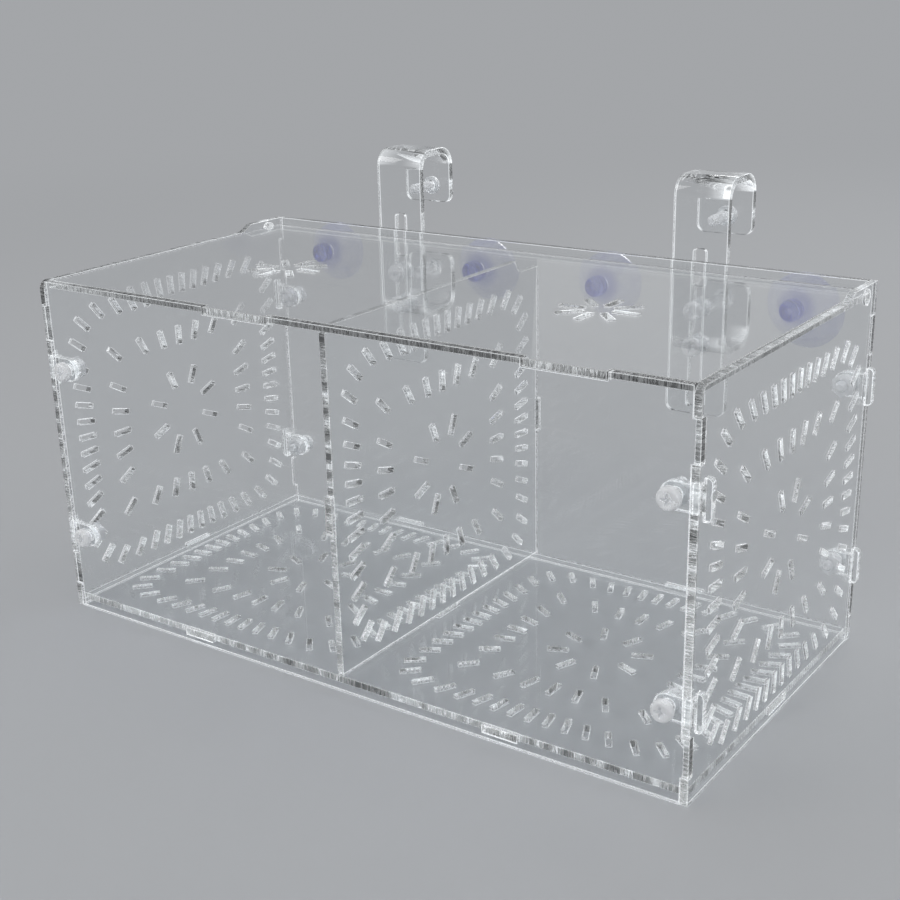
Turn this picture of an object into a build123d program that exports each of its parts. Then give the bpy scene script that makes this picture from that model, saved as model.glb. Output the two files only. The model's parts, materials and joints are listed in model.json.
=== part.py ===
# Two-compartment fish breeding box of clear sheet, with a hinged lid, a divider,
# two adjustable hooks for the rim of a tank and four suction cups.
#
# Millimetres.  X runs left to right, Y front to back, Z up.  The origin lies at the
# middle of the whole object's width and depth, level with the box's lower edges.
from build123d import *
from math import cos, copysign, hypot, radians, sin, sqrt
import os

os.makedirs("parts", exist_ok=True)

# ---- box ----------------------------------------------------------------------
length = 200.0            # over the outer faces of the two side panels
depth = 100.0             # over the outer faces of the front and back panels
height = 100.0            # lower edges to the top edge of the back panel
sheet = 2.0               # clear sheet that every flat piece is cut from
ear_rise = 2.0            # back panel and hinge ears above the closed lid
floor_lift = 2.0          # lower edges to the underside of the floor
front_corner = 2.5        # rounding of a side panel's top front corner
rear_corner = 1.5         # rounding of a side panel's bottom rear corner

# ---- finger joints ------------------------------------------------------------
tab_length = 10.0         # every tab that joins two panels
tab_edge = 12.0           # centre of an end tab from the panel's lower or upper edge
joint_gap = 0.05          # a tab's play in its notch or slot, on each side

# ---- rings of radial slots ----------------------------------------------------
slot_length = 6.4
slot_width = 1.4
inner_count = 8
middle_count = 24
outer_count = 52
inner_across = 10.5       # inner ring's centre line from the pattern's middle
inner_up = 10.3
middle_out = 1.15         # middle ring outward of midway between inner and outer
middle_down = 0.25        # the same ring upwards, inward of midway
ring_corner = 9.0         # corner radius of the outer ring
end_edge = 10.6           # outer ring to the box's outer face at the pattern's ends
wall_edge = 11.0          # outer ring to a wall's lower and upper edges
floor_edge = 12.0         # outer ring to the box's front and back faces

# ---- lid and hinge ------------------------------------------------------------
hinge_inset = 7.0         # hinge axis from the back panel's outer face
hinge_hole = 2.0          # radius of the hole in each ear
peg_clearance = 0.05      # a peg's corners to the wall of its hole
ear_flat = 8.5            # hinge axis to the front end of the ear's flat top
ear_foot = 12.5           # hinge axis to the foot of the ear's ramp
lid_back_gap = 1.0        # lid's rear edge to the back panel
lid_side_gap = 0.3        # lid to each side panel
lid_front_gap = 0.25      # lid's front edge to the front panel
lid_seat_gap = 0.1        # lid's underside to the divider and the notches
lid_tab_length = 21.0     # each of the two tabs on the lid's front edge
lid_tab_pitch = 95.0
lid_tab_shift = 20.0      # middle of the two tabs, right of the box's middle
star_from_front = 46.5    # centre of a star from the front panel's outer face
star_count = 8
star_inner = 4.0          # inner and outer ends of a star's slots
star_outer = 11.0
star_slot_width = 1.8

# ---- divider ------------------------------------------------------------------
sweep_clearance = 0.4     # divider to the arc of the lid's tail
step_ramp = 2.5           # length of the slope at the divider's rear step

# ---- M3 screws and nuts -------------------------------------------------------
shank_radius = 1.5
shank_length = 8.0
clamp_length = 10.0       # shank of the clamp screw in a hook
head_radius = 2.75
head_height = 2.0
head_bevel = 0.7
tip_chamfer = 0.4
hole_clearance = 0.1      # screw in a plain hole, on the radius
thread_clearance = 0.05   # screw in a nut or a tapped hole, on the radius
nut_flats = 5.5
nut_height = 2.4

# ---- corner keys --------------------------------------------------------------
key_low = 23.0            # middle of a lower key from the panels' lower edges
key_high = 25.0           # middle of an upper key below the closed lid's top
key_tongue = 6.6          # height of the tongue through the side panel
key_head = 10.0           # height of the cross bar outside the side panel
key_corner = 1.2
key_screw_inset = 6.5     # key's screw from the side panel's outer face

# ---- hooks --------------------------------------------------------------------
hook_shift = 0.5          # middle of a hook, outward of its compartment's middle
hook_width = 16.2
hook_rise = 22.3          # top of the bend above the back panel
hook_strip = 65.3         # top of the bend to the strip's lower end
hook_leg = 17.5           # top of the bend to the rear leg's lower end
hook_gap = 13.4           # clear width between the strip and the rear leg
hook_bend = 3.5           # inner radius of the bends
hook_corner = 2.5
hook_slip = 0.05          # strip to the back panel, and to its nuts
hook_slot_play = 0.25     # slot to each side of its screws
hook_slot_corner = 0.9
hook_slot_end = 2.3       # strip's lower end to the slot
hook_slot_drop = 19.2     # top of the bend to the slot
hook_screw_drop = 15.0    # upper of a hook's two screws, below the back panel's top
hook_screw_pitch = 10.0
clamp_edge = 4.8          # clamp screw from the rear leg's lower end
left_hook_raise = 1.4     # left hook is set this much higher than the right one

# ---- suction cups -------------------------------------------------------------
cup_clearance = 0.6       # nub to the arc of the lid's tail
cup_spread = 29.0         # cup from the middle of its compartment
cup_radius = 10.0
cup_depth = 5.5           # back panel to the rim
cup_wall = 1.1            # thickness at the rim
cup_root = 3.4            # radius where the cup starts to flare
cup_core = 2.6            # solid rubber behind the panel, on the axis
cup_hole = 2.0            # radius of its hole in the back panel
cup_squeeze = 0.05        # neck to the wall of the hole
nub_radius = 2.9
nub_length = 4.0
nub_round = 1.4

# ---- places that follow -------------------------------------------------------
hook_reach = hook_slip + 2 * sheet + hook_gap          # back panel to the leg's rear face
total_depth = head_height + depth + hook_reach + head_height
front = head_height - total_depth / 2                  # front panel's outer face
back = front + depth                                   # back panel's outer face
middle_y = (front + back) / 2
right = length / 2                                     # right panel's outer face
compartment = length / 4                               # middle of a compartment
hook_x = compartment + hook_shift
inner_right = right - sheet
lid_top = height - ear_rise
lid_bottom = lid_top - sheet
wall_middle = lid_top / 2
floor_top = floor_lift + sheet
floor_middle = floor_lift + sheet / 2
hinge_y = back - hinge_inset
hinge_z = lid_top - sheet / 2
peg_width = 2 * sqrt((hinge_hole - peg_clearance) ** 2 - (sheet / 2) ** 2)
lid_tail = hinge_inset - sheet - lid_back_gap          # lid behind the hinge axis
tail_sweep = hypot(lid_tail, sheet / 2) + sweep_clearance
strip_front = back + hook_slip
leg_front = strip_front + sheet + hook_gap
leg_back = leg_front + sheet
end_tabs = (tab_edge, lid_top - tab_edge)
key_rows = (key_low, lid_top - key_high)
lid_tabs = (lid_tab_shift - lid_tab_pitch / 2, lid_tab_shift + lid_tab_pitch / 2)
hook_screws = (height - hook_screw_drop - hook_screw_pitch, height - hook_screw_drop)
cup_z = hinge_z - tail_sweep - nub_radius - cup_clearance
cups = [
    (side * compartment + offset, cup_z)
    for side in (-1, 1)
    for offset in (-cup_spread, cup_spread)
]
slip = 2 * joint_gap


def xz(y):
    """Upright plane at y that faces the front: sketch x is X, sketch y is Z."""
    return Plane(origin=(0, y, 0), x_dir=(1, 0, 0), z_dir=(0, -1, 0))


def keep(piece, name):
    """Name a finished piece and write it."""
    piece.part.label = name
    export_step(piece.part, f"parts/{name}.step")


# ---- rings of slots -----------------------------------------------------------
def ring(count, start, half_u, half_v, corner=0.0):
    """Places at even angles on a rounded square ring, each turned to its centre."""
    places = []
    for step in range(count):
        angle = start + 360 * step / count
        across = cos(radians(angle))
        up = sin(radians(angle))
        reach = 1 / max(abs(across), abs(up))
        u = half_u * across * reach
        v = half_v * up * reach
        over_u = abs(u) - half_u + corner
        over_v = abs(v) - half_v + corner
        if min(over_u, over_v) > 0:
            pull = corner / hypot(over_u, over_v)
            u = copysign(half_u - corner + over_u * pull, u)
            v = copysign(half_v - corner + over_v * pull, v)
        places.append(Location((u, v, 0), (0, 0, angle)))
    return places


def radial_slots(half_u, half_v):
    """Places of all slots in the three rings, for outer half sizes half_u, half_v."""
    middle_u = (inner_across + half_u) / 2 + middle_out
    middle_v = (inner_up + half_v) / 2 - middle_down
    inner = ring(inner_count, 180 / inner_count, inner_across, inner_up)
    middle = ring(middle_count, 0, middle_u, middle_v)
    outer = ring(outer_count, 45, half_u, half_v, ring_corner)
    return inner + middle + outer


wall_slots = radial_slots(depth / 2 - end_edge, wall_middle - wall_edge)
floor_slots = radial_slots(compartment - end_edge, depth / 2 - floor_edge)


# ---- side panels --------------------------------------------------------------
def side_panel(name, x):
    """Perforated end wall with a hinge ear, notched for the panels it meets."""
    with BuildPart() as panel:
        with BuildSketch(Plane.YZ.offset(x)) as outline:
            with BuildLine():
                Polyline(
                    (front, 0),
                    (back, 0),
                    (back, height),
                    (hinge_y - ear_flat, height),
                    (hinge_y - ear_foot, lid_top),
                    (front, lid_top),
                    close=True,
                )
            make_face()
            front_points = outline.vertices().group_by(Axis.X)[0]
            fillet(front_points.sort_by(Axis.Y)[-1], radius=front_corner)
            rear_points = outline.vertices().group_by(Axis.X)[-1]
            fillet(rear_points.sort_by(Axis.Y)[0], radius=rear_corner)
            for y in (front + sheet / 2, back - sheet / 2):
                with Locations((y, end_tabs[0]), (y, end_tabs[1])):
                    Rectangle(sheet, tab_length + slip, mode=Mode.SUBTRACT)
            with Locations((middle_y, floor_middle)):
                Rectangle(tab_length + slip, sheet + slip, mode=Mode.SUBTRACT)
            for y in (front + 1.5 * sheet, back - 1.5 * sheet):
                with Locations((y, key_rows[0]), (y, key_rows[1])):
                    Rectangle(sheet + slip, key_tongue + slip, mode=Mode.SUBTRACT)
            with Locations((hinge_y, hinge_z)):
                Circle(hinge_hole, mode=Mode.SUBTRACT)
            with Locations((middle_y, wall_middle)):
                with Locations(*wall_slots):
                    Rectangle(slot_length, slot_width, mode=Mode.SUBTRACT)
        extrude(amount=sheet)
    keep(panel, name)


side_panel("left_panel", -right)
side_panel("right_panel", inner_right)


# ---- front and back panels ----------------------------------------------------
def joint_cuts():
    """Slots for the floor's tabs and the divider's, and the keys' screw holes."""
    with Locations((-compartment, floor_middle), (compartment, floor_middle)):
        Rectangle(tab_length + slip, sheet + slip, mode=Mode.SUBTRACT)
    with Locations((0, wall_middle)):
        Rectangle(sheet + slip, tab_length + slip, mode=Mode.SUBTRACT)
    with Locations(*[(s * (right - key_screw_inset), z) for s in (-1, 1) for z in key_rows]):
        Circle(shank_radius + hole_clearance, mode=Mode.SUBTRACT)


with BuildPart() as front_panel:
    with BuildSketch(xz(front)):
        with Locations((0, lid_top / 2)):
            Rectangle(2 * inner_right, lid_top)
        with Locations((0, end_tabs[0]), (0, end_tabs[1])):
            Rectangle(length, tab_length)
        with Locations(*[(x, lid_top - (sheet + lid_seat_gap) / 2) for x in lid_tabs]):
            Rectangle(lid_tab_length + 2 * lid_side_gap, sheet + lid_seat_gap, mode=Mode.SUBTRACT)
        joint_cuts()
    extrude(amount=-sheet)
keep(front_panel, "front_panel")

with BuildPart() as back_panel:
    with BuildSketch(xz(back - sheet)):
        with Locations((0, height / 2)):
            Rectangle(2 * inner_right, height)
        with Locations((0, end_tabs[0]), (0, end_tabs[1])):
            Rectangle(length, tab_length)
        joint_cuts()
        with Locations(*[(s * hook_x, z) for s in (-1, 1) for z in hook_screws]):
            Circle(shank_radius + hole_clearance, mode=Mode.SUBTRACT)
        with Locations(*cups):
            Circle(cup_hole, mode=Mode.SUBTRACT)
    extrude(amount=-sheet)
keep(back_panel, "back_panel")

# ---- floor --------------------------------------------------------------------
with BuildPart() as bottom_panel:
    with BuildSketch(Plane.XY.offset(floor_lift)):
        with Locations((0, middle_y)):
            Rectangle(2 * inner_right, depth - 2 * sheet)
            Rectangle(length, tab_length)
        with Locations((-compartment, middle_y), (compartment, middle_y)):
            Rectangle(tab_length, depth)
        with Locations((0, middle_y)):
            Rectangle(sheet + slip, tab_length + slip, mode=Mode.SUBTRACT)
        with Locations((-compartment, middle_y), (compartment, middle_y)):
            with Locations(*floor_slots):
                Rectangle(slot_length, slot_width, mode=Mode.SUBTRACT)
    extrude(amount=sheet)
keep(bottom_panel, "bottom_panel")

# ---- divider ------------------------------------------------------------------
with BuildPart() as divider:
    with BuildSketch(Plane.YZ.offset(-sheet / 2)):
        with BuildLine():
            Polyline(
                (front + sheet, floor_top),
                (back - sheet, floor_top),
                (back - sheet, hinge_z - tail_sweep),
                (hinge_y - tail_sweep, hinge_z - tail_sweep),
                (hinge_y - tail_sweep - step_ramp, lid_bottom - lid_seat_gap),
                (front + sheet, lid_bottom - lid_seat_gap),
                close=True,
            )
        make_face()
        with Locations((middle_y, wall_middle)):
            Rectangle(depth, tab_length)
        with Locations((middle_y, floor_middle)):
            Rectangle(tab_length, sheet)
        with Locations((middle_y, wall_middle)):
            with Locations(*wall_slots):
                Rectangle(slot_length, slot_width, mode=Mode.SUBTRACT)
    extrude(amount=sheet)
keep(divider, "divider")

# ---- lid ----------------------------------------------------------------------
lid_front = front + sheet + lid_front_gap
lid_back = hinge_y + lid_tail

with BuildPart() as lid:
    with BuildSketch(Plane.XY.offset(lid_bottom)):
        with Locations((0, (lid_front + lid_back) / 2)):
            Rectangle(2 * (inner_right - lid_side_gap), lid_back - lid_front)
        with Locations((0, hinge_y)):
            Rectangle(length, peg_width)
        with Locations(*[(x, (front + lid_front) / 2) for x in lid_tabs]):
            Rectangle(lid_tab_length, lid_front - front)
        with Locations((-compartment, front + star_from_front), (compartment, front + star_from_front)):
            with PolarLocations((star_inner + star_outer) / 2, star_count):
                Rectangle(star_outer - star_inner, star_slot_width, mode=Mode.SUBTRACT)
    extrude(amount=sheet)
keep(lid, "lid")


# ---- corner keys --------------------------------------------------------------
def corner_key(name, side, y, z):
    """T-shaped key: cross bar outside the side panel, round tongue within."""
    with BuildPart() as key:
        with BuildSketch(xz(y)) as profile:
            with Locations((side * (right + sheet / 2), z)):
                Rectangle(sheet, key_head)
            outer_end = profile.vertices().group_by(Axis.X)[-1 if side > 0 else 0]
            fillet(outer_end, radius=key_corner)
            with Locations((side * (right - key_screw_inset / 2), z)):
                Rectangle(key_screw_inset, key_tongue)
            with Locations((side * (right - key_screw_inset), z)):
                Circle(key_tongue / 2)
                Circle(shank_radius + hole_clearance, mode=Mode.SUBTRACT)
        extrude(amount=-sheet)
    keep(key, name)


# ---- screws and nuts ----------------------------------------------------------
def pan_screw(name, x, seat, z, toward, shank):
    """Pan head screw along Y: its head sits on the face at seat, its shank runs toward."""
    out = Plane(origin=(x, seat, z), x_dir=(1, 0, 0), z_dir=(0, -toward, 0))
    with BuildPart() as screw:
        with BuildSketch(out):
            Circle(head_radius)
        extrude(amount=head_height)
        crown = screw.faces().sort_by(Axis.Y)[0 if toward > 0 else -1]
        chamfer(crown.edges(), length=head_bevel)
        with BuildSketch(out):
            Circle(shank_radius)
        extrude(amount=-shank)
        tip = screw.faces().sort_by(Axis.Y)[-1 if toward > 0 else 0]
        chamfer(tip.edges(), length=tip_chamfer)
    keep(screw, name)


def hex_nut(name, x, y, z):
    """Hexagon nut with its front face at y."""
    with BuildPart() as nut:
        with BuildSketch(xz(y)):
            with Locations((x, z)):
                RegularPolygon(nut_flats / 2, 6, major_radius=False)
                Circle(shank_radius + thread_clearance, mode=Mode.SUBTRACT)
        extrude(amount=-nut_height)
    keep(nut, name)


for end, y, seat, toward, nut_y in (
    ("front", front + sheet, front, 1, front + 2 * sheet),
    ("rear", back - 2 * sheet, back, -1, back - 2 * sheet - nut_height),
):
    for hand, side in (("left", -1), ("right", 1)):
        for level, z in zip(("lower", "upper"), key_rows):
            place = f"{end}_{hand}_{level}"
            x = side * (right - key_screw_inset)
            corner_key(f"key_{place}", side, y, z)
            pan_screw(f"key_screw_{place}", x, seat, z, toward, shank_length)
            hex_nut(f"key_nut_{place}", x, nut_y, z)


# ---- hooks --------------------------------------------------------------------
def hook(name, x, lift):
    """Strip bent over the tank's rim, with a long slot for its two screws."""
    top = height + hook_rise + lift
    bottom = top - hook_strip
    leg_bottom = top - hook_leg
    slot_bottom = bottom + hook_slot_end
    slot_top = top - hook_slot_drop
    screw_way = 2 * (shank_radius + hook_slot_play)
    bend_depth = leg_back - strip_front
    with BuildPart() as strip:
        with BuildSketch(Plane.YZ.offset(x - hook_width / 2)) as profile:
            with Locations(((strip_front + leg_back) / 2, (bottom + top) / 2)):
                Rectangle(bend_depth, top - bottom)
            fillet(profile.vertices().group_by(Axis.Y)[-1], radius=hook_bend + sheet)
            with Locations(((strip_front + sheet + leg_front) / 2, (bottom + top - sheet) / 2)):
                Rectangle(hook_gap, top - sheet - bottom, mode=Mode.SUBTRACT)
            fillet(profile.vertices().group_by(Axis.Y)[-2], radius=hook_bend)
            with Locations(((leg_front + leg_back) / 2, (bottom + leg_bottom) / 2)):
                Rectangle(sheet, leg_bottom - bottom, mode=Mode.SUBTRACT)
        extrude(amount=hook_width)
        ends = strip.edges().filter_by(Axis.Y)
        for level in (bottom, leg_bottom):
            fillet(ends.filter_by_position(Axis.Z, level - 0.1, level + 0.1), radius=hook_corner)
        with BuildSketch(xz(strip_front)):
            with Locations((x, (slot_bottom + slot_top) / 2)):
                RectangleRounded(screw_way, slot_top - slot_bottom, hook_slot_corner)
        extrude(amount=-sheet, mode=Mode.SUBTRACT)
        with BuildSketch(xz(leg_front)):
            with Locations((x, leg_bottom + clamp_edge)):
                Circle(shank_radius + thread_clearance)
        extrude(amount=-sheet, mode=Mode.SUBTRACT)
    keep(strip, name)


for hand, side, lift in (("left", -1, left_hook_raise), ("right", 1, 0.0)):
    x = side * hook_x
    clamp_z = height + hook_rise + lift - hook_leg + clamp_edge
    hook(f"hook_{hand}", x, lift)
    pan_screw(f"clamp_screw_{hand}", x, leg_back, clamp_z, -1, clamp_length)
    for level, z in zip(("lower", "upper"), hook_screws):
        pan_screw(f"hook_screw_{hand}_{level}", x, back - sheet, z, 1, shank_length)
        hex_nut(f"hook_nut_{hand}_{level}", x, strip_front + sheet + hook_slip, z)


# ---- suction cups -------------------------------------------------------------
def suction_cup(name, x, z):
    """Soft cup behind the back panel, its neck and nub pushed through the hole."""
    inside = back - sheet
    rim = back + cup_depth
    neck = cup_hole - cup_squeeze
    with BuildPart() as cup:
        with BuildSketch(Plane.YZ.offset(x)):
            with BuildLine():
                Polyline(
                    (back + cup_core, z),
                    (inside - nub_length, z),
                    (inside - nub_length, z + nub_radius - nub_round),
                    (inside - nub_length + nub_round, z + nub_radius),
                    (inside, z + nub_radius),
                    (inside, z + neck),
                    (back, z + neck),
                    (back, z + cup_root),
                )
                TangentArc((back, z + cup_root), (rim - cup_wall, z + cup_radius), tangent=(0, 1))
                Line((rim - cup_wall, z + cup_radius), (rim, z + cup_radius))
                TangentArc((back + cup_core, z), (rim, z + cup_radius), tangent=(0, 1))
            make_face()
        revolve(axis=Axis((x, 0, z), (0, 1, 0)))
    keep(cup, name)


for number, (x, z) in enumerate(cups, start=1):
    suction_cup(f"suction_cup_{number}", x, z)
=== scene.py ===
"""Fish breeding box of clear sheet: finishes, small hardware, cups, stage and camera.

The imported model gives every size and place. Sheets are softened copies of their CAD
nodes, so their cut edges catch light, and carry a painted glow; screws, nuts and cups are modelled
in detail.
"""

import json
import math

import bmesh
import bpy
from bpy.props import FloatProperty, FloatVectorProperty, IntProperty, PointerProperty
from mathutils import Matrix, Vector


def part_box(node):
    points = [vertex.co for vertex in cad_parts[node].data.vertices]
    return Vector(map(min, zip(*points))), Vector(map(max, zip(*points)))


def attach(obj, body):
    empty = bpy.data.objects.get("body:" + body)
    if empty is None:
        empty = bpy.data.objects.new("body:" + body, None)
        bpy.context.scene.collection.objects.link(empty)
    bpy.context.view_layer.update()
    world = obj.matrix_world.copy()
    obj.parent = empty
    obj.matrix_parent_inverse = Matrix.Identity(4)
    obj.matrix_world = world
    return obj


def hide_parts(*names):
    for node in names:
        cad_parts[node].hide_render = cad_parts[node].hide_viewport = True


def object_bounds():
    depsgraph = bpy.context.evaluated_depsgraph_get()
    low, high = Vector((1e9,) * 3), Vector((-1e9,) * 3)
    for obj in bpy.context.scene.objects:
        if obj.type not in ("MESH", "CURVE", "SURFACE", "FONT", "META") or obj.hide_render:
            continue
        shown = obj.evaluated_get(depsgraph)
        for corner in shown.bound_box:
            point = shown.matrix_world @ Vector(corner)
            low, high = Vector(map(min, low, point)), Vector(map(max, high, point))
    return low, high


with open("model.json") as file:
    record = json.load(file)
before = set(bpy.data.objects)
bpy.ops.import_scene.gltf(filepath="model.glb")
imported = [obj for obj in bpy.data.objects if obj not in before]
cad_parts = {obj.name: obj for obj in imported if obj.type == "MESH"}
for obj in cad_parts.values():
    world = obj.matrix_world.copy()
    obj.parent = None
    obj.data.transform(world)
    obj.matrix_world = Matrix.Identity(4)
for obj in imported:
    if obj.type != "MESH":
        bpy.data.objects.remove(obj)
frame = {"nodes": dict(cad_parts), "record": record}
cad_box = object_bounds()

bl_info = {
    "name": "Fish breeding box",
    "version": (1, 0, 0),
    "blender": (4, 5, 0),
    "location": "View3D > Sidebar > Breeding Box",
    "description": "Dresses the packed model of a clear fish breeding box",
    "category": "Object",
}

MM = 0.001
BODY_OF = {
    node: body
    for body, members in frame["record"]["behaviour"]["bodies"].items()
    for node in members
}
AXES = {"X": (1.0, 0.0, 0.0), "Y": (0.0, 1.0, 0.0), "Z": (0.0, 0.0, 1.0)}
CUT_SLOT = (6.4 * MM, 1.4 * MM)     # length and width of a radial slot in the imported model


def nodes_named(*starts):
    """Names of the CAD nodes that begin with one of the given words, in order."""
    return sorted(n for n in frame["nodes"] if n.startswith(starts))


# ---- settings -------------------------------------------------------------------
class SheetSettings(bpy.types.PropertyGroup):
    edge_softening: FloatProperty(
        name="Edge softening", description="Width of the small bevel along every cut edge",
        default=0.17 * MM, min=0.0, max=0.5 * MM, unit="LENGTH", precision=5)
    slot_softening: FloatProperty(
        name="Slot softening", description="Width of the small bevel round a radial slot",
        default=0.12 * MM, min=0.0, max=0.3 * MM, unit="LENGTH", precision=5)
    slot_length: FloatProperty(
        name="Slot length", description="Length of a radial slot, end to end",
        default=5.6 * MM, min=3.0 * MM, max=6.4 * MM, unit="LENGTH", precision=5)
    slot_drop: FloatProperty(
        name="Slot drop", description="How far the walls' rings of slots sit below their middle",
        default=1.1 * MM, min=0.0, max=2.0 * MM, unit="LENGTH", precision=5)
    seam_gap: FloatProperty(
        name="Seam gap", description="How far each face is drawn in, so touching faces stay apart",
        default=0.008 * MM, min=0.0, max=0.05 * MM, unit="LENGTH", precision=6)
    face_tint: FloatVectorProperty(
        name="Face tint", description="Colour of light that passes the polished faces",
        default=(0.985, 0.992, 0.995), size=3, min=0.0, max=1.0, subtype="COLOR")
    edge_tint: FloatVectorProperty(
        name="Edge tint", description="Colour of light that passes the cut edges",
        default=(0.97, 0.985, 0.99), size=3, min=0.0, max=1.0, subtype="COLOR")
    # Painted glow: strength of the light that the cut edges and corners emit, which stands in for
    # studio light caught there.
    painted_edge_glow: FloatProperty(
        name="Edge glow", description="Light that the sheet pipes out at its cut edges",
        default=0.40, min=0.0, max=1.0)
    streak_scale: FloatProperty(
        name="Streak scale", description="Cutting streaks for each metre along a cut edge",
        default=2300.0, min=50.0, max=4000.0)


class HardwareSettings(bpy.types.PropertyGroup):
    tint: FloatVectorProperty(
        name="Plastic tint", description="Colour of the frosted screws and nuts",
        default=(0.95, 0.96, 0.975), size=3, min=0.0, max=1.0, subtype="COLOR")
    thread_pitch: FloatProperty(
        name="Thread pitch", description="Distance from one thread ridge to the next",
        default=0.5 * MM, min=0.2 * MM, max=1.5 * MM, unit="LENGTH", precision=5)
    thread_depth: FloatProperty(
        name="Thread depth", description="Depth of the groove between two thread ridges",
        default=0.27 * MM, min=0.05 * MM, max=0.6 * MM, unit="LENGTH", precision=5)
    recess_span: FloatProperty(
        name="Recess span", description="Length of each arm pair of the cross recess",
        default=3.0 * MM, min=1.0 * MM, max=5.0 * MM, unit="LENGTH", precision=5)
    recess_width: FloatProperty(
        name="Recess width", description="Width of the arms of the cross recess",
        default=0.7 * MM, min=0.2 * MM, max=1.5 * MM, unit="LENGTH", precision=5)
    recess_depth: FloatProperty(
        name="Recess depth", description="Depth of the cross recess in a screw's head",
        default=1.1 * MM, min=0.2 * MM, max=1.8 * MM, unit="LENGTH", precision=5)
    steps: IntProperty(
        name="Steps round", description="Faces round a screw", default=32, min=12, max=96)


class CupSettings(bpy.types.PropertyGroup):
    tint: FloatVectorProperty(
        name="Cup tint", description="Colour of the soft clear cups",
        default=(0.05, 0.08, 0.60), size=3, min=0.0, max=1.0, subtype="COLOR")
    steps: IntProperty(
        name="Steps round", description="Faces round a cup", default=64, min=24, max=128)


class StageSettings(bpy.types.PropertyGroup):
    floor_colour: FloatVectorProperty(
        name="Floor colour", description="Colour of the plain floor and the background",
        default=(0.37, 0.38, 0.395), size=3, min=0.0, max=1.0, subtype="COLOR")
    floor_radius: FloatProperty(
        name="Floor radius", description="Radius of the round floor",
        default=5.0, min=1.0, max=20.0, unit="LENGTH")
    lens: FloatProperty(
        name="Lens", description="Focal length on a 36 mm wide sensor",
        default=57.522, min=10.0, max=300.0)


class BoxSettings(bpy.types.PropertyGroup):
    sheet: PointerProperty(type=SheetSettings)
    hardware: PointerProperty(type=HardwareSettings)
    cup: PointerProperty(type=CupSettings)
    stage: PointerProperty(type=StageSettings)


# ---- shader helpers ---------------------------------------------------------------
def put(tree, kind, at, values=None, **settings):
    """Adds a node at a place of the node editor and sets its plain inputs and settings."""
    node = tree.nodes.new(kind)
    node.location = (at[0] * 200, at[1] * 180)
    for key, value in settings.items():
        setattr(node, key, value)
    for key, value in (values or {}).items():
        node.inputs[key].default_value = value
    return node


def math_node(tree, at, operation, first, second=None, clamp=False):
    """Math node whose two inputs are numbers or sockets."""
    node = put(tree, "ShaderNodeMath", at, operation=operation, use_clamp=clamp)
    for socket, value in zip(node.inputs, (first, second)):
        if value is None:
            continue
        if isinstance(value, (int, float)):
            socket.default_value = value
        else:
            tree.links.new(value, socket)
    return node.outputs[0]


def span(tree, at, value, low, high, to_low=0.0, to_high=1.0):
    """Smooth step of a value between two bounds, carried to another span."""
    node = put(tree, "ShaderNodeMapRange", at, {"From Min": low, "From Max": high,
               "To Min": to_low, "To Max": to_high}, interpolation_type="SMOOTHSTEP")
    tree.links.new(value, node.inputs["Value"])
    return node.outputs["Result"]


def blend_colour(tree, at, factor, first, second, mode="MIX"):
    """Mix node for colours: each of its two colours is a tuple or a socket."""
    node = put(tree, "ShaderNodeMix", at, data_type="RGBA", blend_type=mode)
    tree.links.new(factor, node.inputs["Factor"])
    for socket, value in ((node.inputs[6], first), (node.inputs[7], second)):
        if isinstance(value, bpy.types.NodeSocket):
            tree.links.new(value, socket)
        else:
            socket.default_value = (*value[:3], 1.0)
    return node.outputs[2]


def new_group(name, inputs, outputs):
    """Empty shader node group with typed, named inputs and outputs."""
    group = bpy.data.node_groups.new(name, "ShaderNodeTree")
    for label, kind, default in inputs:
        socket = group.interface.new_socket(label, in_out="INPUT", socket_type=kind)
        if default is not None:
            socket.default_value = default
    for label, kind in outputs:
        group.interface.new_socket(label, in_out="OUTPUT", socket_type=kind)
    return group, put(group, "NodeGroupInput", (-6, 0)), put(group, "NodeGroupOutput", (6, 0))


def use_group(tree, group, at, values=None):
    """Places a shared node group in a material with its own values."""
    node = put(tree, "ShaderNodeGroup", at)
    node.node_tree = group
    for key, value in (values or {}).items():
        node.inputs[key].default_value = value
    return node


def handling_marks():
    """Group: soft smudges and fine hairlines left by wiping and handling."""
    name = "Handling marks"
    if name in bpy.data.node_groups:
        return bpy.data.node_groups[name]
    number, vector = "NodeSocketFloat", "NodeSocketVector"
    group, start, end = new_group(
        name,
        [("Vector", vector, None), ("Smudge Scale", number, 60.0),
         ("Hairline Scale", number, 1400.0)],
        [("Smudge", number), ("Hairline", number)])
    cloud = put(group, "ShaderNodeTexNoise", (-4, 1), {"Detail": 4.0, "Roughness": 0.6})
    group.links.new(start.outputs["Vector"], cloud.inputs["Vector"])
    group.links.new(start.outputs["Smudge Scale"], cloud.inputs["Scale"])
    smudge = span(group, (-2, 1), cloud.outputs[0], 0.46, 0.74)
    lines = []
    for row, turn in ((0, (0.5, 0.9, 0.4)), (-1, (1.3, -0.4, 1.1))):
        squash = put(group, "ShaderNodeMapping", (-4, row), {"Rotation": turn,
                     "Scale": (0.02, 1.0, 1.0)})
        fine = put(group, "ShaderNodeTexNoise", (-3, row), {"Detail": 1.0})
        group.links.new(start.outputs["Vector"], squash.inputs["Vector"])
        group.links.new(squash.outputs["Vector"], fine.inputs["Vector"])
        group.links.new(start.outputs["Hairline Scale"], fine.inputs["Scale"])
        lines.append(span(group, (-2, row), fine.outputs[0], 0.66, 0.74))
    both = math_node(group, (0, 0), "MAXIMUM", *lines)
    group.links.new(smudge, end.inputs["Smudge"])
    group.links.new(both, end.inputs["Hairline"])
    return group


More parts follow.
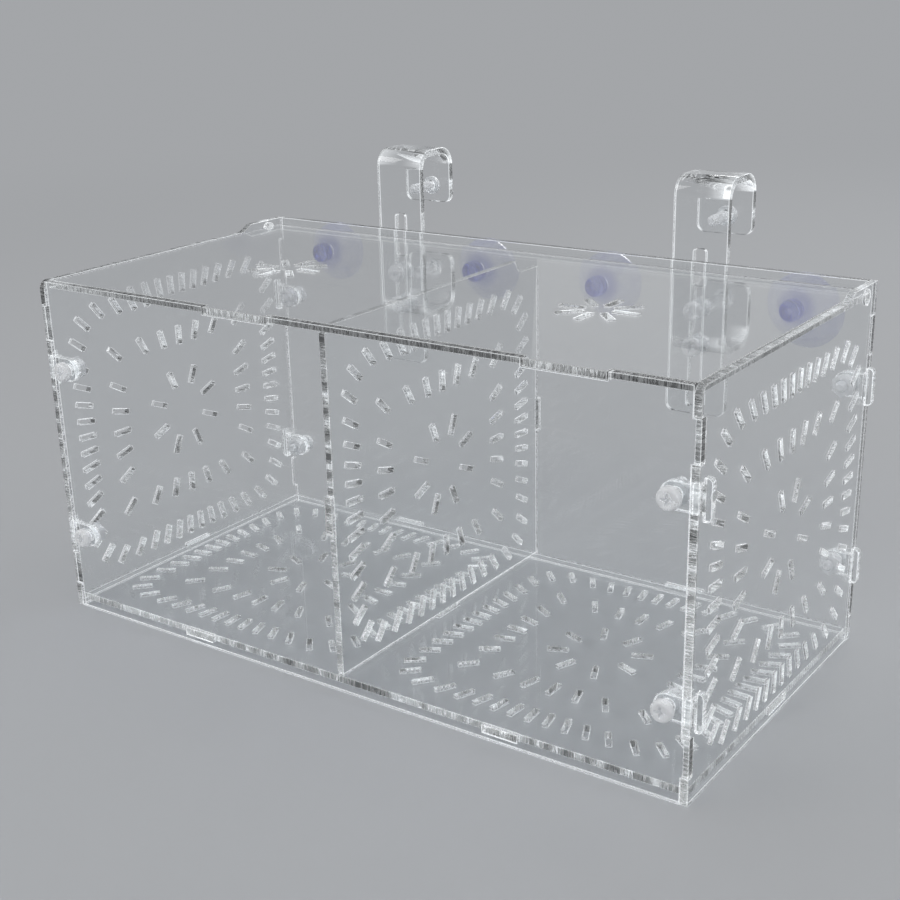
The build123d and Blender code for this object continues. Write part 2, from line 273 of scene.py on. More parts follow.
def cut_edge():
    """Group: tells cut edges from faces and draws the streaks that cutting leaves."""
    name = "Cut edge"
    if name in bpy.data.node_groups:
        return bpy.data.node_groups[name]
    number, vector = "NodeSocketFloat", "NodeSocketVector"
    group, start, end = new_group(
        name,
        [("Vector", vector, None), ("Normal", vector, None), ("Across", vector, (0, 0, 1)),
         ("Strip", number, 0.0), ("Streak Scale", number, 600.0)],
        [("Edge", number), ("Corner", number), ("Streak", number), ("Height", number)])
    facing = put(group, "ShaderNodeVectorMath", (-5, 2), operation="DOT_PRODUCT")
    group.links.new(start.outputs["Normal"], facing.inputs[0])
    group.links.new(start.outputs["Across"], facing.inputs[1])
    lean = math_node(group, (-4, 2), "ABSOLUTE", facing.outputs["Value"])
    wall = span(group, (-3, 2), lean, 0.55, 0.93, 1.0, 0.0)
    other = math_node(group, (-2, 3), "SUBTRACT", 1.0, wall)
    edge = put(group, "ShaderNodeMix", (-1, 2), data_type="FLOAT")
    group.links.new(start.outputs["Strip"], edge.inputs["Factor"])
    group.links.new(wall, edge.inputs[2])
    group.links.new(other, edge.inputs[3])
    rise = span(group, (-3, 1), lean, 0.2, 0.5)
    fall = span(group, (-3, 0), lean, 0.85, 0.97, 1.0, 0.0)
    corner = math_node(group, (-2, 1), "MULTIPLY", rise, fall)

    depth = put(group, "ShaderNodeVectorMath", (-5, -1), operation="DOT_PRODUCT")
    group.links.new(start.outputs["Vector"], depth.inputs[0])
    group.links.new(start.outputs["Across"], depth.inputs[1])
    most = math_node(group, (-4, -1), "MULTIPLY", depth.outputs["Value"], 0.85)
    along = put(group, "ShaderNodeVectorMath", (-3, -1), operation="SCALE")
    group.links.new(start.outputs["Across"], along.inputs[0])
    group.links.new(most, along.inputs["Scale"])
    flat = put(group, "ShaderNodeVectorMath", (-2, -1), operation="SUBTRACT")
    group.links.new(start.outputs["Vector"], flat.inputs[0])
    group.links.new(along.outputs[0], flat.inputs[1])
    coarse = put(group, "ShaderNodeTexNoise", (-1, -1), {"Detail": 2.0, "Roughness": 0.55})
    group.links.new(flat.outputs[0], coarse.inputs["Vector"])
    group.links.new(start.outputs["Streak Scale"], coarse.inputs["Scale"])
    streak = span(group, (1, -1), coarse.outputs[0], 0.41, 0.60)
    finer = math_node(group, (-1, -2), "MULTIPLY", start.outputs["Streak Scale"], 4.0)
    grain = put(group, "ShaderNodeTexNoise", (0, -2), {"Detail": 1.0})
    group.links.new(flat.outputs[0], grain.inputs["Vector"])
    group.links.new(finer, grain.inputs["Scale"])
    rough = math_node(group, (1, -2), "MULTIPLY", grain.outputs[0], 0.45)
    relief = math_node(group, (2, -1), "ADD", streak, rough)
    height = math_node(group, (3, -1), "MULTIPLY", relief, edge.outputs[0])
    group.links.new(edge.outputs[0], end.inputs["Edge"])
    group.links.new(corner, end.inputs["Corner"])
    group.links.new(streak, end.inputs["Streak"])
    group.links.new(height, end.inputs["Height"])
    return group


def clear_material(name, ior, transmission):
    """Material of clear plastic whose shadow is only a light one; returns it, tree and shader."""
    material = bpy.data.materials.new(name)
    material.use_nodes = True
    tree = material.node_tree
    tree.nodes.clear()
    shader = put(tree, "ShaderNodeBsdfPrincipled", (4, 0),
                 {"IOR": ior, "Transmission Weight": transmission, "Metallic": 0.0})
    see_through = put(tree, "ShaderNodeBsdfTransparent", (4, -4))
    light = put(tree, "ShaderNodeLightPath", (4, 2))
    choose = put(tree, "ShaderNodeMixShader", (6, 0))
    out = put(tree, "ShaderNodeOutputMaterial", (7, 0))
    tree.links.new(light.outputs["Is Shadow Ray"], choose.inputs["Fac"])
    tree.links.new(shader.outputs[0], choose.inputs[1])
    tree.links.new(see_through.outputs[0], choose.inputs[2])
    tree.links.new(choose.outputs[0], out.inputs["Surface"])
    return material, tree, shader, see_through


def bump(tree, at, height, strength, distance, shader):
    """Bump node from a height into the shader's normal."""
    node = put(tree, "ShaderNodeBump", at, {"Strength": strength, "Distance": distance})
    tree.links.new(height, node.inputs["Height"])
    tree.links.new(node.outputs[0], shader.inputs["Normal"])


def sheet_material(name, across, strip=0.0):
    """Clear cast sheet: polished faces, streaked cut edges, worn corners; edges and corners carry
    a painted glow.
    """
    if name in bpy.data.materials:
        return bpy.data.materials[name]
    values = bpy.context.scene.breeding_box.sheet
    material, tree, shader, shade = clear_material(name, 1.49, 1.0)
    place = put(tree, "ShaderNodeTexCoord", (-5, 0))
    edge = use_group(tree, cut_edge(), (-3, 1),
                     {"Across": across, "Strip": strip, "Streak Scale": values.streak_scale})
    marks = use_group(tree, handling_marks(), (-3, -1))
    for group in (edge, marks):
        tree.links.new(place.outputs["Object"], group.inputs["Vector"])
    tree.links.new(place.outputs["Normal"], edge.inputs["Normal"])

    hazed = tuple(0.985 * c for c in values.face_tint)
    dark = tuple(0.86 * c for c in values.edge_tint)
    face = blend_colour(tree, (-1, 3), marks.outputs["Smudge"], values.face_tint, hazed)
    cut = blend_colour(tree, (-1, 2), edge.outputs["Streak"], dark, values.edge_tint)
    colour = blend_colour(tree, (1, 2), edge.outputs["Edge"], face, cut)
    tree.links.new(colour, shader.inputs["Base Color"])

    # Painted glow: the cut edges' streaks and the bevelled corners emit a pale light of their own,
    # a painted highlight in place of caught studio light.
    shader.inputs["Emission Strength"].default_value = values.painted_edge_glow
    painted_glow_streaks = math_node(tree, (-1, 5), "MULTIPLY", edge.outputs["Edge"], edge.outputs["Streak"])
    painted_glow_streaks = math_node(tree, (0, 5), "MULTIPLY", painted_glow_streaks, 0.5)
    painted_glow_mask = math_node(tree, (0, 4), "MAXIMUM", painted_glow_streaks, edge.outputs["Corner"])
    painted_glow_colour = blend_colour(tree, (1, 4), painted_glow_mask, (0.0, 0.0, 0.0), (0.95, 0.98, 1.0))
    tree.links.new(painted_glow_colour, shader.inputs["Emission Color"])

    smooth = math_node(tree, (-1, 0), "MULTIPLY", marks.outputs["Smudge"], 0.035)
    lines = math_node(tree, (-1, -1), "MULTIPLY", marks.outputs["Hairline"], 0.10)
    polish = math_node(tree, (0, 0), "ADD", smooth, lines)
    frost = span(tree, (-1, 1), edge.outputs["Streak"], 0.0, 1.0, 0.42, 0.10)
    mixed = put(tree, "ShaderNodeMix", (1, 0), data_type="FLOAT")
    tree.links.new(edge.outputs["Edge"], mixed.inputs["Factor"])
    tree.links.new(polish, mixed.inputs[2])
    tree.links.new(frost, mixed.inputs[3])
    worn = math_node(tree, (1, 1), "MULTIPLY", edge.outputs["Corner"], 0.06)
    rough = math_node(tree, (2, 0), "ADD", mixed.outputs[0], worn, clamp=True)
    tree.links.new(rough, shader.inputs["Roughness"])
    bump(tree, (2, -2), edge.outputs["Height"], 0.5, 0.06 * MM, shader)

    thin = blend_colour(tree, (2, -4), edge.outputs["Edge"],
                        (0.955, 0.96, 0.965), (0.60, 0.62, 0.64))
    tree.links.new(thin, shade.inputs["Color"])
    return material


def hardware_material():
    """Frosted clear plastic of screws and nuts, cloudy inside, with mould grain."""
    name = "Frosted plastic"
    if name in bpy.data.materials:
        return bpy.data.materials[name]
    values = bpy.context.scene.breeding_box.hardware
    material, tree, shader, shade = clear_material(name, 1.53, 0.40)
    place = put(tree, "ShaderNodeTexCoord", (-5, 0))
    marks = use_group(tree, handling_marks(), (-3, -1),
                      {"Smudge Scale": 420.0, "Hairline Scale": 5200.0})
    tree.links.new(place.outputs["Object"], marks.inputs["Vector"])
    cloud = put(tree, "ShaderNodeTexNoise", (-3, 1), {"Scale": 420.0, "Detail": 2.0})
    tree.links.new(place.outputs["Object"], cloud.inputs["Vector"])
    milky = span(tree, (-1, 1), cloud.outputs[0], 0.35, 0.65)
    dim = tuple(0.88 * c for c in values.tint)
    tree.links.new(blend_colour(tree, (1, 1), milky, dim, values.tint),
                   shader.inputs["Base Color"])
    base = span(tree, (-1, 0), cloud.outputs[0], 0.3, 0.7, 0.07, 0.24)
    wiped = math_node(tree, (-1, -1), "MULTIPLY", marks.outputs["Smudge"], 0.18)
    tree.links.new(math_node(tree, (1, 0), "ADD", base, wiped, clamp=True),
                   shader.inputs["Roughness"])
    grain = put(tree, "ShaderNodeTexNoise", (-3, -3), {"Scale": 1500.0, "Detail": 3.0})
    tree.links.new(place.outputs["Object"], grain.inputs["Vector"])
    bump(tree, (2, -2), grain.outputs[0], 0.35, 0.20 * MM, shader)
    shade.inputs["Color"].default_value = (0.80, 0.81, 0.82, 1.0)
    return material


def cup_material():
    """Soft clear vinyl with a blue violet cast, thinly dusted, with flow ripples."""
    name = "Violet vinyl"
    if name in bpy.data.materials:
        return bpy.data.materials[name]
    values = bpy.context.scene.breeding_box.cup
    material, tree, shader, shade = clear_material(name, 1.52, 0.94)
    place = put(tree, "ShaderNodeTexCoord", (-5, 0))
    marks = use_group(tree, handling_marks(), (-3, -1),
                      {"Smudge Scale": 260.0, "Hairline Scale": 2600.0})
    tree.links.new(place.outputs["Object"], marks.inputs["Vector"])
    flow = put(tree, "ShaderNodeTexNoise", (-3, 1), {"Scale": 240.0, "Detail": 3.0,
               "Distortion": 1.2})
    tree.links.new(place.outputs["Object"], flow.inputs["Vector"])
    swirl = span(tree, (-1, 1), flow.outputs[0], 0.35, 0.68)
    pale = tuple(0.10 + 0.90 * c for c in values.tint)
    body = blend_colour(tree, (0, 1), swirl, values.tint, pale)
    clear = blend_colour(tree, (0, 2), swirl, (0.80, 0.81, 0.955), (0.90, 0.91, 0.985))
    depth = put(tree, "ShaderNodeSeparateXYZ", (-3, 3))
    tree.links.new(place.outputs["Object"], depth.inputs[0])
    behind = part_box("back_panel")[1].y
    dish = span(tree, (-1, 3), depth.outputs["Y"], behind - 0.4 * MM, behind + 0.8 * MM)
    tree.links.new(blend_colour(tree, (1, 2), dish, body, clear), shader.inputs["Base Color"])
    base = span(tree, (-1, 0), flow.outputs[0], 0.3, 0.7, 0.05, 0.14)
    dusty = math_node(tree, (-1, -1), "MULTIPLY", marks.outputs["Smudge"], 0.16)
    tree.links.new(math_node(tree, (1, 0), "ADD", base, dusty, clamp=True),
                   shader.inputs["Roughness"])
    bump(tree, (2, -2), flow.outputs[0], 0.3, 0.12 * MM, shader)
    shade.inputs["Color"].default_value = (0.80, 0.81, 0.95, 1.0)
    return material


# ---- mesh helpers -----------------------------------------------------------------
def finish_piece(bm, name, node, material, smooth_angle=None):
    """Turns a bmesh into a piece that stands for a CAD node and moves with its body."""
    mesh = bpy.data.meshes.new(name)
    bm.to_mesh(mesh)
    bm.free()
    piece = bpy.data.objects.new(name, mesh)
    bpy.context.scene.collection.objects.link(piece)
    mesh.materials.append(material)
    if smooth_angle is not None:
        mesh.shade_smooth()
        mesh.set_sharp_from_angle(angle=smooth_angle)
    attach(piece, BODY_OF[node])
    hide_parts(node)
    return piece


def cut_walls(bm, axis):
    """Groups of faces that each run round one opening, or round the outline, of a sheet."""
    reached = set()
    for first in bm.faces:
        if first in reached or abs(first.normal[axis]) > 0.5:
            continue
        ring, heap = set(), [first]
        while heap:
            face = heap.pop()
            if face not in ring:
                ring.add(face)
                heap += [g for e in face.edges for g in e.link_faces
                         if abs(g.normal[axis]) < 0.5]
        reached |= ring
        yield ring


def trim_slots(bm, axis, drop):
    """Shortens and lowers a sheet's radial slots, refills its faces, returns slot corners."""
    values = bpy.context.scene.breeding_box.sheet
    normal = Vector((0.0, 0.0, 0.0))
    normal[axis] = 1.0
    trimmed = set()
    for ring in list(cut_walls(bm, axis)):
        corners = {v for f in ring for v in f.verts}
        along = max(ring, key=lambda f: f.calc_area()).normal.cross(normal).normalized()
        across = along.cross(normal)
        centre = sum((v.co for v in corners), Vector()) / len(corners)
        size = [2 * max(abs((v.co - centre).dot(way)) for v in corners)
                for way in (along, across)]
        if len(corners) != 8 or any(abs(a - b) > 0.05 * MM for a, b in zip(size, CUT_SLOT)):
            continue
        for vert in corners:
            reach = (vert.co - centre).dot(along)
            vert.co += along * reach * (values.slot_length / CUT_SLOT[0] - 1.0)
            vert.co.z -= drop
        trimmed |= corners
    bmesh.ops.scale(bm, vec=(1 / MM, 1 / MM, 1 / MM), verts=bm.verts)
    for side in (-1, 1):
        flat = [f for f in bm.faces if f.normal[axis] * side > 0.5]
        bmesh.ops.delete(bm, geom=flat, context="FACES_KEEP_BOUNDARY")
        rim = [e for e in bm.edges if e.is_boundary]
        bmesh.ops.triangle_fill(bm, use_beauty=True, edges=rim, normal=normal * side)
        bm.normal_update()
    bmesh.ops.scale(bm, vec=(MM, MM, MM), verts=bm.verts)
    bmesh.ops.recalc_face_normals(bm, faces=bm.faces)
    return trimmed


def softened_sheet(node, material, slots_across=None, drop=0.0):
    """Copy of a sheet with small bevels along its cut edges and faces drawn in a hair."""
    values = bpy.context.scene.breeding_box.sheet
    bm = bmesh.new()
    bm.from_mesh(frame["nodes"][node].data)
    bmesh.ops.remove_doubles(bm, verts=bm.verts, dist=0.001 * MM)
    bmesh.ops.dissolve_degenerate(bm, edges=bm.edges, dist=0.001 * MM)
    bm.normal_update()
    slots = set() if slots_across is None else trim_slots(bm, slots_across, drop)
    hard = [e for e in bm.edges if e.is_manifold and e.calc_face_angle(0.0) > math.radians(32)]
    fine = [e for e in hard if e.verts[0] in slots]
    plain = [e for e in hard if e.verts[0] not in slots]
    for edges, width in ((fine, values.slot_softening), (plain, values.edge_softening)):
        if edges:
            bmesh.ops.bevel(bm, geom=edges, offset=width, offset_type="OFFSET", segments=1,
                            profile=0.5, affect="EDGES", clamp_overlap=False, material=-1)
    bm.normal_update()
    piece = finish_piece(bm, f"{node}_sheet", node, material)
    inset = piece.modifiers.new("Seam gap", "DISPLACE")
    inset.direction = "NORMAL"
    inset.mid_level = 0.0
    inset.strength = -values.seam_gap
    return piece


def revolve(bm, profile, steps):
    """Spins a profile of (radius, height) points once round Z, poles closed."""
    verts = [bm.verts.new((r, 0.0, h)) for r, h in profile]
    edges = [bm.edges.new(pair) for pair in zip(verts, verts[1:])]
    bmesh.ops.spin(bm, geom=verts + edges, cent=(0, 0, 0), axis=(0, 0, 1), dvec=(0, 0, 0),
                   angle=2 * math.pi, steps=steps, use_merge=True, use_duplicate=False)
    bmesh.ops.remove_doubles(bm, verts=bm.verts, dist=0.002 * MM)
    bmesh.ops.recalc_face_normals(bm, faces=bm.faces)


def arc(centre, radius, first, last, count):
    """Points of an arc in the profile plane, from first to last angle in degrees."""
    angles = [math.radians(first + (last - first) * i / count) for i in range(count + 1)]
    return [(centre[0] + radius * math.cos(a), centre[1] + radius * math.sin(a)) for a in angles]


def pan_head_screw(node, head_first):
    """Screw with a rounded pan head, a cross recess and thread ridges down to its tip."""
    values = bpy.context.scene.breeding_box.hardware
    low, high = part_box(node)
    head, shank, crown = (high.x - low.x) / 2, 1.5 * MM, 2.0 * MM
    length = (high.y - low.y) - crown
    root = shank - values.thread_depth
    profile = [(0.0, crown)]
    profile += arc((head - 0.9 * MM, crown - 0.9 * MM), 0.9 * MM, 90, 0, 6)
    profile += [(head, 0.12 * MM), (head - 0.12 * MM, 0.0), (shank, 0.0)]
    ridges = int((length - 0.7 * MM) / values.thread_pitch)
    for turn in range(ridges):
        start = -0.25 * MM - turn * values.thread_pitch
        profile += [(root, start), (root, start - 0.1 * MM),
                    (shank, start - 0.45 * values.thread_pitch),
                    (shank, start - 0.60 * values.thread_pitch)]
    profile += [(root, -length + 0.35 * MM), (root - 0.3 * MM, -length), (0.0, -length)]
    bm = bmesh.new()
    revolve(bm, profile, values.steps)
    cross_recess(bm, crown)
    turn = Matrix.Rotation(math.radians(90 if head_first else -90), 4, "X")
    seat = low.y + crown if head_first else high.y - crown
    place = Matrix.Translation(((low.x + high.x) / 2, seat, (low.z + high.z) / 2))
    bmesh.ops.transform(bm, matrix=place @ turn, verts=bm.verts)
    finish_piece(bm, f"{node}_detailed", node, hardware_material(),
                 math.radians(40))


def cross_recess(bm, crown):
    """Presses a tapered cross recess into the top of a screw's head."""
    values = bpy.context.scene.breeding_box.hardware
    half, reach = values.recess_width / 2, values.recess_span / 2
    for axis in ((1, 0, 0), (0, 1, 0)):
        for offset in (-reach, -half, half, reach):
            top = [f for f in bm.faces if f.calc_center_median().z > crown - 0.01 * MM]
            around = {v for f in top for v in f.verts} | {e for f in top for e in f.edges}
            bmesh.ops.bisect_plane(bm, geom=list(top) + list(around), dist=0.0005 * MM,
                                   plane_co=Vector(axis) * offset, plane_no=axis)

    def inside(face):
        c = face.calc_center_median()
        near, far = sorted((abs(c.x), abs(c.y)))
        return c.z > crown - 0.01 * MM and near < half and far < reach

    floor = bmesh.ops.extrude_face_region(bm, geom=[f for f in bm.faces if inside(f)])
    made = [v for v in floor["geom"] if isinstance(v, bmesh.types.BMVert)]
    old = [f for f in bm.faces if inside(f) and not any(v in made for v in f.verts)]
    bmesh.ops.delete(bm, geom=old, context="FACES_KEEP_BOUNDARY")
    bmesh.ops.translate(bm, vec=(0, 0, -values.recess_depth), verts=made)
    bmesh.ops.scale(bm, vec=(0.55, 0.55, 1.0), verts=made)
    bmesh.ops.recalc_face_normals(bm, faces=bm.faces)


def hexagon_nut(node):
    """Nut with chamfered corners and a ridged bore."""
    low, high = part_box(node)
    flats, tall = high.z - low.z, high.y - low.y
    bore, ridge = 1.56 * MM, 0.10 * MM
    seat = flats / 2 - 0.12 * MM
    bm = bmesh.new()

    def loop(height, reach):
        made = bmesh.ops.create_circle(bm, segments=36, radius=1.0)["verts"]
        for vert in made:
            angle = math.atan2(vert.co.y, vert.co.x)
            radius, drop = reach(angle)
            vert.co = (radius * math.cos(angle), radius * math.sin(angle), height(drop))
        return [e for e in bm.edges if all(v in made for v in e.verts)]

    def hexagon(angle):
        radius = (flats / 2) / math.cos((angle + math.pi / 6) % (math.pi / 3) - math.pi / 6)
        return radius, max(0.0, radius - seat) * 0.55

    def round_at(radius):
        return lambda angle: (radius, 0.0)

    loops = [loop(lambda d: tall - d, round_at(bore + 0.2 * MM)),
             loop(lambda d: tall - d, round_at(seat)),
             loop(lambda d: tall - d, hexagon),
             loop(lambda d: d, hexagon),
             loop(lambda d: d, round_at(seat)),
             loop(lambda d: d, round_at(bore + 0.2 * MM))]
    turns = 5
    for step in range(2 * turns + 1):
        level = 0.2 * MM + (tall - 0.4 * MM) * step / (2 * turns)
        radius = bore if step % 2 == 0 else bore + ridge
        loops.append(loop(lambda d, level=level: level, round_at(radius)))
    for first, second in zip(loops, loops[1:] + loops[:1]):
        bmesh.ops.bridge_loops(bm, edges=first + second)
    bmesh.ops.recalc_face_normals(bm, faces=bm.faces)
    turn = Matrix.Rotation(math.radians(-90), 4, "X")
    place = Matrix.Translation(((low.x + high.x) / 2, low.y, (low.z + high.z) / 2))
    bmesh.ops.transform(bm, matrix=place @ turn, verts=bm.verts)
    finish_piece(bm, f"{node}_detailed", node, hardware_material(),
                 math.radians(35))


def soft_cup(node):
    """Suction cup: ringed nub inside the box, neck through the wall, thin flaring dish."""
    values = bpy.context.scene.breeding_box.cup
    low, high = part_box(node)
    radius = (high.z - low.z) / 2
    nub, neck, nub_tall, wall = 2.9 * MM, 1.95 * MM, 4.0 * MM, 2.0 * MM
    rim = high.y - low.y
    seat = nub_tall + wall
    profile = [(0.0, 0.7 * MM), (0.9 * MM, 0.55 * MM), (1.3 * MM, 0.1 * MM)]
    profile += arc((nub - 1.2 * MM, 1.2 * MM), 1.2 * MM, -90, 0, 6)
    profile += [(nub, 1.7 * MM), (nub - 0.35 * MM, 1.9 * MM), (nub - 0.35 * MM, 2.2 * MM),
                (nub, 2.4 * MM), (nub, 3.3 * MM)]
    profile += arc((nub - 0.4 * MM, nub_tall - 0.42 * MM), 0.4 * MM, 0, 90, 3)
    profile += [(neck, nub_tall - 0.02 * MM), (neck, seat + 0.02 * MM),
                (3.3 * MM, seat + 0.05 * MM)]
    dish, hollow = rim - seat, 2.6 * MM
    count = 16
    outer = [(3.4 * MM + (radius - 3.4 * MM) * t, seat + 0.06 * MM
              + (dish - 1.16 * MM) * t ** 2) for t in (i / count for i in range(1, count + 1))]
    outer[-1] = (radius - 0.12 * MM, rim - 1.05 * MM)
    inner = [(radius * (1 - t), rim - (dish - hollow) * (1 - (1 - t) ** 2))
             for t in (i / count for i in range(count + 1))]
    inner[0] = (radius - 0.12 * MM, rim)
    profile += outer + [(radius, rim - 0.9 * MM), (radius, rim - 0.12 * MM)] + inner
    bm = bmesh.new()
    revolve(bm, profile, values.steps)
    turn = Matrix.Rotation(math.radians(-90), 4, "X")
    place = Matrix.Translation(((low.x + high.x) / 2, low.y, (low.z + high.z) / 2))
    bmesh.ops.transform(bm, matrix=place @ turn, verts=bm.verts)
    finish_piece(bm, f"{node}_detailed", node, cup_material(),
                 math.radians(38))


# ---- operators --------------------------------------------------------------------
class BREEDING_BOX_OT_walls(bpy.types.Operator):
    """Finish the four walls, the floor and the divider"""

    bl_idname = "breeding_box.walls"
    bl_label = "Walls, floor and divider"

    def execute(self, context):
        drop = context.scene.breeding_box.sheet.slot_drop
        for node in ("front_panel", "back_panel"):
            softened_sheet(node, sheet_material("Clear sheet along X", AXES["Y"]))
        for node in ("left_panel", "right_panel", "divider"):
            softened_sheet(node, sheet_material("Clear sheet along Y", AXES["X"]), 0, drop)
        softened_sheet("bottom_panel", sheet_material("Clear sheet level", AXES["Z"]), 2)
        return {"FINISHED"}


class BREEDING_BOX_OT_lid(bpy.types.Operator):
    """Finish the lid with its pegs and stars"""

    bl_idname = "breeding_box.lid"
    bl_label = "Lid"

    def execute(self, context):
        softened_sheet("lid", sheet_material("Clear sheet level", AXES["Z"]))
        return {"FINISHED"}


class BREEDING_BOX_OT_hooks(bpy.types.Operator):
    """Finish the two bent strips that hang on the rim"""

    bl_idname = "breeding_box.hooks"
    bl_label = "Hooks"

    def execute(self, context):
        for node in nodes_named("hook_left", "hook_right"):
            softened_sheet(node, sheet_material("Clear bent strip", AXES["X"], 1.0))
        return {"FINISHED"}


class BREEDING_BOX_OT_keys(bpy.types.Operator):
    """Finish the eight corner keys"""

    bl_idname = "breeding_box.keys"
    bl_label = "Corner keys"

    def execute(self, context):
        for node in nodes_named("key_front", "key_rear"):
            softened_sheet(node, sheet_material("Clear sheet along X", AXES["Y"]))
        return {"FINISHED"}


class BREEDING_BOX_OT_screws(bpy.types.Operator):
    """Model the key, hook and clamp screws"""

    bl_idname = "breeding_box.screws"
    bl_label = "Screws"

    def execute(self, context):
        for node in nodes_named("key_screw_front", "hook_screw"):
            pan_head_screw(node, True)
        for node in nodes_named("key_screw_rear", "clamp_screw"):
            pan_head_screw(node, False)
        return {"FINISHED"}


class BREEDING_BOX_OT_nuts(bpy.types.Operator):
    """Model the hexagon nuts"""

    bl_idname = "breeding_box.nuts"
    bl_label = "Nuts"

    def execute(self, context):
        for node in nodes_named("key_nut", "hook_nut"):
            hexagon_nut(node)
        return {"FINISHED"}


class BREEDING_BOX_OT_cups(bpy.types.Operator):
    """Model the four suction cups"""

    bl_idname = "breeding_box.cups"
    bl_label = "Suction cups"

    def execute(self, context):
        for node in nodes_named("suction_cup"):
            soft_cup(node)
        return {"FINISHED"}


def add_lamp(name, place, aim, size, power, colour=(1.0, 1.0, 1.0)):
    """Soft rectangular lamp that faces a point."""
    data = bpy.data.lights.new(name, "AREA")
    data.shape = "RECTANGLE"
    data.size, data.size_y = size
    data.energy = power
    data.color = colour
    lamp = bpy.data.objects.new(name, data)
    bpy.context.scene.collection.objects.link(lamp)
    lamp.location = place
    lamp.rotation_euler = (Vector(aim) - Vector(place)).to_track_quat("-Z", "Y").to_euler()
    lamp.visible_camera = False
    lamp.visible_transmission = False
    return lamp


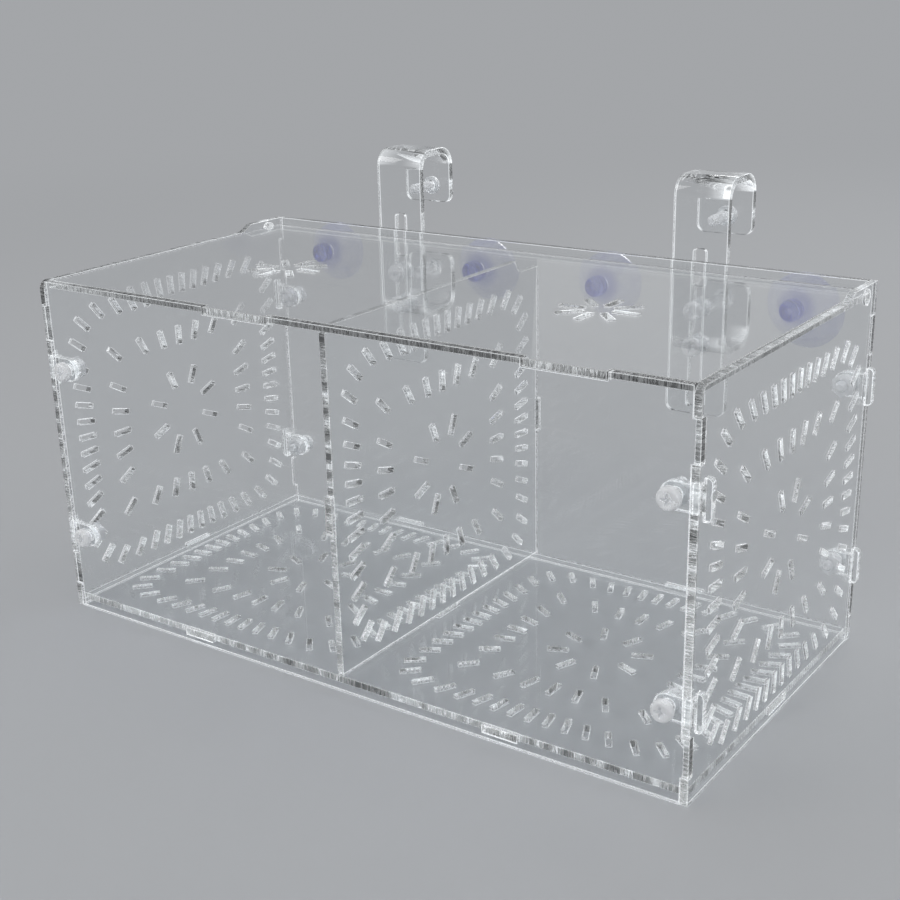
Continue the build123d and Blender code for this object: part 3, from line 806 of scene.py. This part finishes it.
class BREEDING_BOX_OT_stage(bpy.types.Operator):
    """Set the floor, the background, the lamps and the camera"""

    bl_idname = "breeding_box.stage"
    bl_label = "Stage"

    def execute(self, context):
        values = context.scene.breeding_box.stage
        pale = (*values.floor_colour, 1.0)

        world = bpy.data.worlds.new("Studio")
        context.scene.world = world
        world.use_nodes = True
        tree = world.node_tree
        tree.nodes.clear()
        path = put(tree, "ShaderNodeLightPath", (-4, 1))
        seen = math_node(tree, (-3, 1), "MAXIMUM", path.outputs["Is Camera Ray"],
                         path.outputs["Is Transmission Ray"])
        seen = math_node(tree, (-2, 1), "MAXIMUM", seen, path.outputs["Is Glossy Ray"])
        room = put(tree, "ShaderNodeBackground", (-1, 0),
                   {"Color": (1.0, 1.0, 1.0, 1.0), "Strength": 0.72})
        wall = put(tree, "ShaderNodeBackground", (-1, -1), {"Color": pale, "Strength": 1.0})
        choose = put(tree, "ShaderNodeMixShader", (0, 0))
        out = put(tree, "ShaderNodeOutputWorld", (1, 0))
        tree.links.new(seen, choose.inputs["Fac"])
        tree.links.new(room.outputs[0], choose.inputs[1])
        tree.links.new(wall.outputs[0], choose.inputs[2])
        tree.links.new(choose.outputs[0], out.inputs["Surface"])

        bm = bmesh.new()
        bmesh.ops.create_circle(bm, cap_ends=True, segments=96, radius=values.floor_radius)
        mesh = bpy.data.meshes.new("floor")
        bm.to_mesh(mesh)
        bm.free()
        floor = bpy.data.objects.new("floor", mesh)
        context.scene.collection.objects.link(floor)
        floor.location.z = cad_box[0].z
        material = bpy.data.materials.new("Plain floor")
        material.use_nodes = True
        tree = material.node_tree
        tree.nodes.clear()
        place = put(tree, "ShaderNodeTexCoord", (-5, 0))
        far = put(tree, "ShaderNodeVectorMath", (-4, 0), operation="LENGTH")
        tree.links.new(place.outputs["Object"], far.inputs[0])
        fade = span(tree, (-3, 0), far.outputs["Value"], 0.35, 1.1)
        near = put(tree, "ShaderNodeBsdfPrincipled", (-2, 1),
                   {"Base Color": pale, "Roughness": 0.7, "Specular IOR Level": 0.2})
        away = put(tree, "ShaderNodeEmission", (-2, -2), {"Color": pale, "Strength": 1.0})
        choose = put(tree, "ShaderNodeMixShader", (0, 0))
        out = put(tree, "ShaderNodeOutputMaterial", (1, 0))
        tree.links.new(fade, choose.inputs["Fac"])
        tree.links.new(near.outputs[0], choose.inputs[1])
        tree.links.new(away.outputs[0], choose.inputs[2])
        tree.links.new(choose.outputs[0], out.inputs["Surface"])
        mesh.materials.append(material)

        add_lamp("key lamp", (-0.75, -0.85, 1.0), (0, 0, 0.05), (0.8, 0.6), 5.6)
        add_lamp("fill lamp", (1.1, -0.35, 0.7), (0, 0, 0.05), (0.5, 0.8), 2.8)
        add_lamp("lid lamp", (-0.34, 1.15, 0.45), (0.05, 0, 0.1), (0.62, 0.5), 0.18)
        add_lamp("rim lamp", (0.25, 1.0, 0.75), (0, 0, 0.08), (1.2, 0.16), 3.2)

        eye = bpy.data.cameras.new("camera")
        eye.lens = values.lens
        eye.sensor_width = 36.0
        eye.shift_x, eye.shift_y = 0.0041, 0.0409
        eye.clip_start, eye.clip_end = 0.01, 100.0
        camera = bpy.data.objects.new("camera", eye)
        context.scene.collection.objects.link(camera)
        turn, lift, roll = map(math.radians, (35.674, 20.623, -1.530))
        ahead = Vector((-math.sin(turn) * math.cos(lift), math.cos(turn) * math.cos(lift),
                        -math.sin(lift)))
        side = Vector((math.cos(turn), math.sin(turn), 0.0))
        above = side.cross(ahead)
        right = math.cos(roll) * side + math.sin(roll) * above
        up = -math.sin(roll) * side + math.cos(roll) * above
        camera.matrix_world = Matrix((
            (right.x, up.x, -ahead.x, 0.218143),
            (right.y, up.y, -ahead.y, -0.312086),
            (right.z, up.z, -ahead.z, 0.181497),
            (0, 0, 0, 1)))
        context.scene.camera = camera
        context.scene.view_settings.view_transform = "Standard"
        return {"FINISHED"}


class BREEDING_BOX_PT_panel(bpy.types.Panel):
    """Steps and settings of the breeding box"""

    bl_idname = "BREEDING_BOX_PT_panel"
    bl_label = "Breeding Box"
    bl_space_type = "VIEW_3D"
    bl_region_type = "UI"
    bl_category = "Breeding Box"

    def draw(self, context):
        settings = context.scene.breeding_box
        for title, group in (("Sheet", settings.sheet), ("Hardware", settings.hardware),
                             ("Cups", settings.cup), ("Stage", settings.stage)):
            box = self.layout.box()
            box.label(text=title)
            for name in group.bl_rna.properties.keys():
                if name not in {"rna_type", "name"}:
                    box.prop(group, name)
        for step in STEPS:
            self.layout.operator(step.bl_idname)


SETTINGS = (SheetSettings, HardwareSettings, CupSettings, StageSettings, BoxSettings)
STEPS = (BREEDING_BOX_OT_stage, BREEDING_BOX_OT_walls, BREEDING_BOX_OT_lid,
         BREEDING_BOX_OT_hooks, BREEDING_BOX_OT_keys, BREEDING_BOX_OT_screws,
         BREEDING_BOX_OT_nuts, BREEDING_BOX_OT_cups)


def register():
    for kind in (*SETTINGS, *STEPS, BREEDING_BOX_PT_panel):
        bpy.utils.register_class(kind)
    bpy.types.Scene.breeding_box = PointerProperty(type=BoxSettings)


def unregister():
    del bpy.types.Scene.breeding_box
    for kind in reversed((*SETTINGS, *STEPS, BREEDING_BOX_PT_panel)):
        bpy.utils.unregister_class(kind)


def main():
    register()
    for step in STEPS:
        area, action = step.bl_idname.split(".")
        getattr(getattr(bpy.ops, area), action)()


if __name__ == "__main__":
    main()
